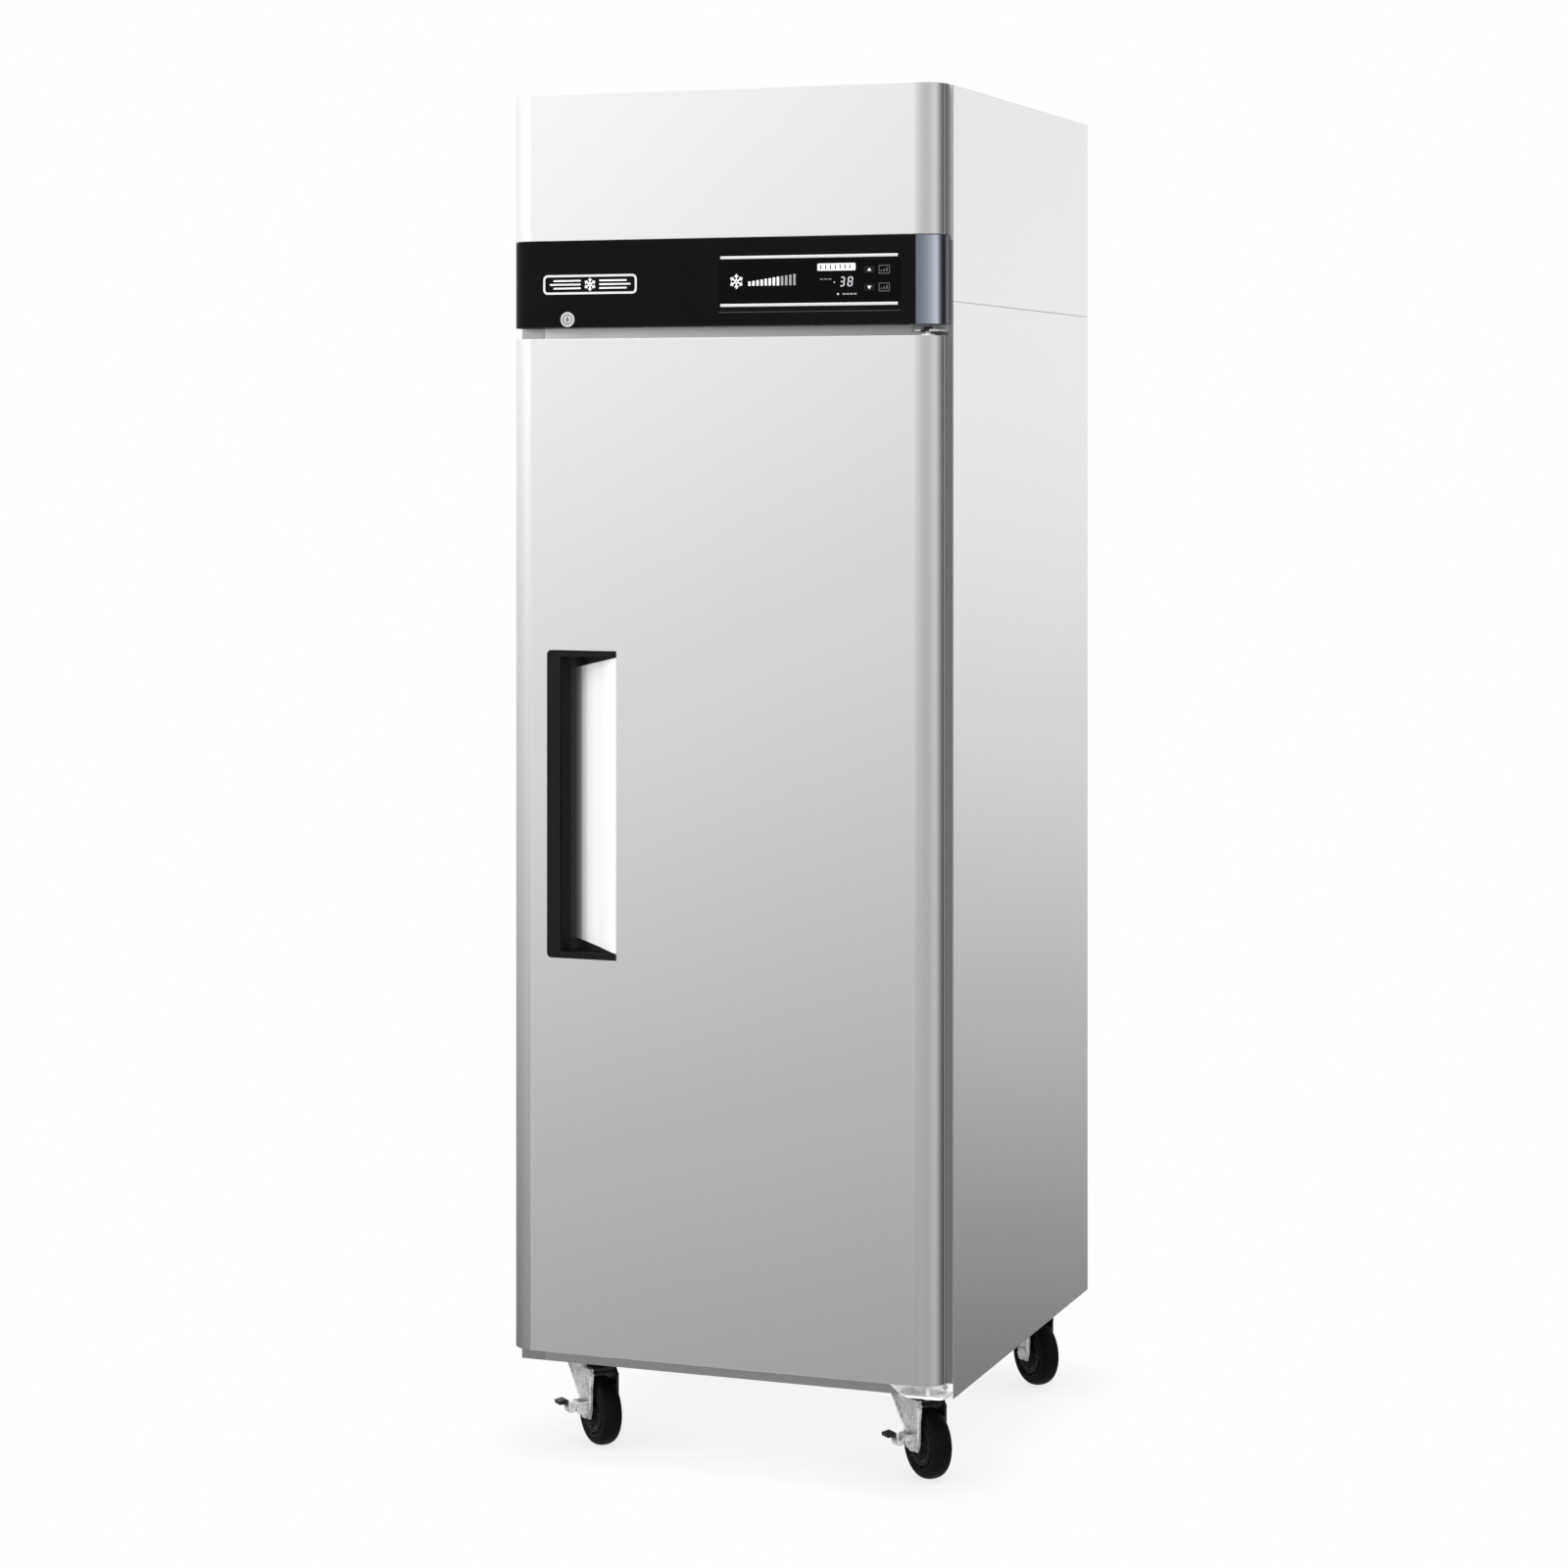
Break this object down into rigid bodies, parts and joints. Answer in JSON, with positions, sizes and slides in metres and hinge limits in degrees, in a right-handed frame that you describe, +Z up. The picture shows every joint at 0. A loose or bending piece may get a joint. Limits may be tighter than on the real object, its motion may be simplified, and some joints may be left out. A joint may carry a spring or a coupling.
{
  "type": "reach-in refrigerator",
  "caption": "Stainless reach-in refrigerator with solid swing door, recessed pull, key lock, lift-up fascia over a top-mounted condensing unit, wire shelves and braked swivel casters.",
  "frame": {"origin": "on the floor under the centre of the footprint", "axes": "+Z up, the door faces -Y, the door hinge is on the +X side"},
  "size_m": [0.666, 0.8, 1.99],
  "materials": {
    "stainless_outer": "fine satin grain",
    "galvanised_sheet": "plain zinc-coated sheet",
    "stainless_liner": "satin",
    "foam": "rigid foam",
    "grey_plastic": "satin",
    "black_gloss": "gloss",
    "black_satin": "satin moulded",
    "smoked_window": "high gloss",
    "bright_trim": "bright",
    "silver_cap": "silver metallic",
    "pocket_steel": "bright satin",
    "gasket_grey": "soft vinyl",
    "zinc": "bright zinc plate",
    "steel_wire": "epoxy-coated wire",
    "black_steel": "semi-gloss black paint",
    "aluminium_fins": "mill finish",
    "copper": "bare copper tube",
    "fan_plastic": "moulded",
    "caster_rubber": "smooth tread",
    "lamp_lens": "frosted",
    "bearing_plastic": "acetal",
    "key_plastic": "satin",
    "cord_black": "flexible cord",
    "screw_steel": "plated"
  },
  "bodies": {
    "cabinet": {"cabinet_side_left": "stainless_outer", "cabinet_side_right": "stainless_outer", "cabinet_rear_panel": "galvanised_sheet", "cabinet_top_deck": "galvanised_sheet", "base_pan": "galvanised_sheet", "insulation_foam": "foam", "inner_liner": "stainless_liner", "breaker_strips": "grey_plastic", "front_frame": "stainless_outer", "hinge_brackets": "zinc", "hinge_pins": "zinc", "shelf_pilasters": "stainless_liner", "shelf_clips": "zinc", "evaporator_coil": "aluminium_fins", "evaporator_cover": "stainless_liner", "evaporator_fan_motor": "black_steel", "interior_lamp": "lamp_lens", "machine_side_panels": "stainless_outer", "machine_rear_grille": "galvanised_sheet", "compressor": "black_steel", "condenser_coil": "aluminium_fins", "condenser_shroud": "galvanised_sheet", "condenser_fan_motor": "black_steel", "refrigerant_lines": "copper", "electrical_boxes": "galvanised_sheet", "power_cord": "cord_black", "condensate_tray": "stainless_liner", "control_band": "black_gloss", "control_band_end_cap": "silver_cap", "display_window": "smoked_window", "display_trims": "bright_trim", "lock_housing": "bright_trim", "caster_plates": "zinc", "panel_screws": "screw_steel"},
    "door": {"door_skin": "stainless_outer", "door_foam": "foam", "door_liner": "stainless_liner", "door_gasket": "gasket_grey", "handle_bezel": "black_satin", "handle_pocket": "pocket_steel", "hinge_bushings": "bearing_plastic"},
    "fascia": {"fascia_panel": "stainless_outer"},
    "lock_plug": {"lock_plug": "bright_trim"},
    "key_up": {"key_up": "key_plastic"},
    "key_down": {"key_down": "key_plastic"},
    "shelf_lower": {"shelf_lower": "steel_wire"},
    "shelf_middle": {"shelf_middle": "steel_wire"},
    "shelf_upper": {"shelf_upper": "steel_wire"},
    "condenser_fan": {"condenser_fan_blade": "fan_plastic"},
    "evaporator_fan": {"evaporator_fan_blade": "fan_plastic"},
    "caster_front_left": {"caster_fork_front_left": "zinc"},
    "wheel_front_left": {"caster_wheel_front_left": "caster_rubber"},
    "brake_front_left": {"brake_lever_front_left": "black_satin"},
    "caster_front_right": {"caster_fork_front_right": "zinc"},
    "wheel_front_right": {"caster_wheel_front_right": "caster_rubber"},
    "brake_front_right": {"brake_lever_front_right": "black_satin"},
    "caster_rear_left": {"caster_fork_rear_left": "zinc"},
    "wheel_rear_left": {"caster_wheel_rear_left": "caster_rubber"},
    "caster_rear_right": {"caster_fork_rear_right": "zinc"},
    "wheel_rear_right": {"caster_wheel_rear_right": "caster_rubber"}
  },
  "joints": [
    {"name": "brake_front_left", "type": "hinge", "parent": "caster_front_left", "child": "brake_front_left", "pos_m": [-0.24966, -0.32907, 0.062], "axis": [0.7314, -0.682, 0], "range_deg": [0, 18]},
    {"name": "brake_front_right", "type": "hinge", "parent": "caster_front_right", "child": "brake_front_right", "pos_m": [0.25634, -0.32907, 0.062], "axis": [0.7314, -0.682, 0], "range_deg": [0, 18]},
    {"name": "door_swing", "type": "hinge", "parent": "cabinet", "child": "door", "pos_m": [0.306, -0.376, 0.895], "axis": [0, 0, 1], "range_deg": [0, 120]},
    {"name": "fan_condenser_spin", "type": "hinge", "parent": "cabinet", "child": "condenser_fan", "pos_m": [-0.095, -0.234, 1.815], "axis": [0, 1, 0], "continuous": true},
    {"name": "fan_evaporator_spin", "type": "hinge", "parent": "cabinet", "child": "evaporator_fan", "pos_m": [0, 0.037, 1.5], "axis": [0, 1, 0], "continuous": true},
    {"name": "fascia_lift", "type": "hinge", "parent": "cabinet", "child": "fascia", "pos_m": [0, -0.36, 1.976], "axis": [-1, 0, 0], "range_deg": [0, 75]},
    {"name": "key_down_press", "type": "slide", "parent": "cabinet", "child": "key_down", "axis": [0, 1, 0], "range_m": [0, 0.001], "stiffness_N_per_m": 40},
    {"name": "key_up_press", "type": "slide", "parent": "cabinet", "child": "key_up", "axis": [0, 1, 0], "range_m": [0, 0.001], "stiffness_N_per_m": 40},
    {"name": "lock_turn", "type": "hinge", "parent": "cabinet", "child": "lock_plug", "pos_m": [-0.2356, -0.388, 1.662], "axis": [0, -1, 0], "range_deg": [0, 90]},
    {"name": "shelf_lower_lift", "type": "slide", "parent": "cabinet", "child": "shelf_lower", "axis": [0, 0, 1], "range_m": [0, 0.02]},
    {"name": "shelf_middle_lift", "type": "slide", "parent": "cabinet", "child": "shelf_middle", "axis": [0, 0, 1], "range_m": [0, 0.02]},
    {"name": "shelf_upper_lift", "type": "slide", "parent": "cabinet", "child": "shelf_upper", "axis": [0, 0, 1], "range_m": [0, 0.02]},
    {"name": "swivel_front_left", "type": "hinge", "parent": "cabinet", "child": "caster_front_left", "pos_m": [-0.253, -0.274, 0.112], "axis": [0, 0, 1], "continuous": true},
    {"name": "swivel_front_right", "type": "hinge", "parent": "cabinet", "child": "caster_front_right", "pos_m": [0.253, -0.274, 0.112], "axis": [0, 0, 1], "continuous": true},
    {"name": "swivel_rear_left", "type": "hinge", "parent": "cabinet", "child": "caster_rear_left", "pos_m": [-0.253, 0.3, 0.112], "axis": [0, 0, 1], "continuous": true},
    {"name": "swivel_rear_right", "type": "hinge", "parent": "cabinet", "child": "caster_rear_right", "pos_m": [0.253, 0.3, 0.112], "axis": [0, 0, 1], "continuous": true},
    {"name": "wheel_front_left", "type": "hinge", "parent": "caster_front_left", "child": "wheel_front_left", "pos_m": [-0.22375, -0.30128, 0.0508], "axis": [0.682, 0.7314, 0], "continuous": true},
    {"name": "wheel_front_right", "type": "hinge", "parent": "caster_front_right", "child": "wheel_front_right", "pos_m": [0.28225, -0.30128, 0.0508], "axis": [0.682, 0.7314, 0], "continuous": true},
    {"name": "wheel_rear_left", "type": "hinge", "parent": "caster_rear_left", "child": "wheel_rear_left", "pos_m": [-0.22375, 0.27272, 0.0508], "axis": [0.682, 0.7314, 0], "continuous": true},
    {"name": "wheel_rear_right", "type": "hinge", "parent": "caster_rear_right", "child": "wheel_rear_right", "pos_m": [0.28225, 0.27272, 0.0508], "axis": [0.682, 0.7314, 0], "continuous": true}
  ]
}
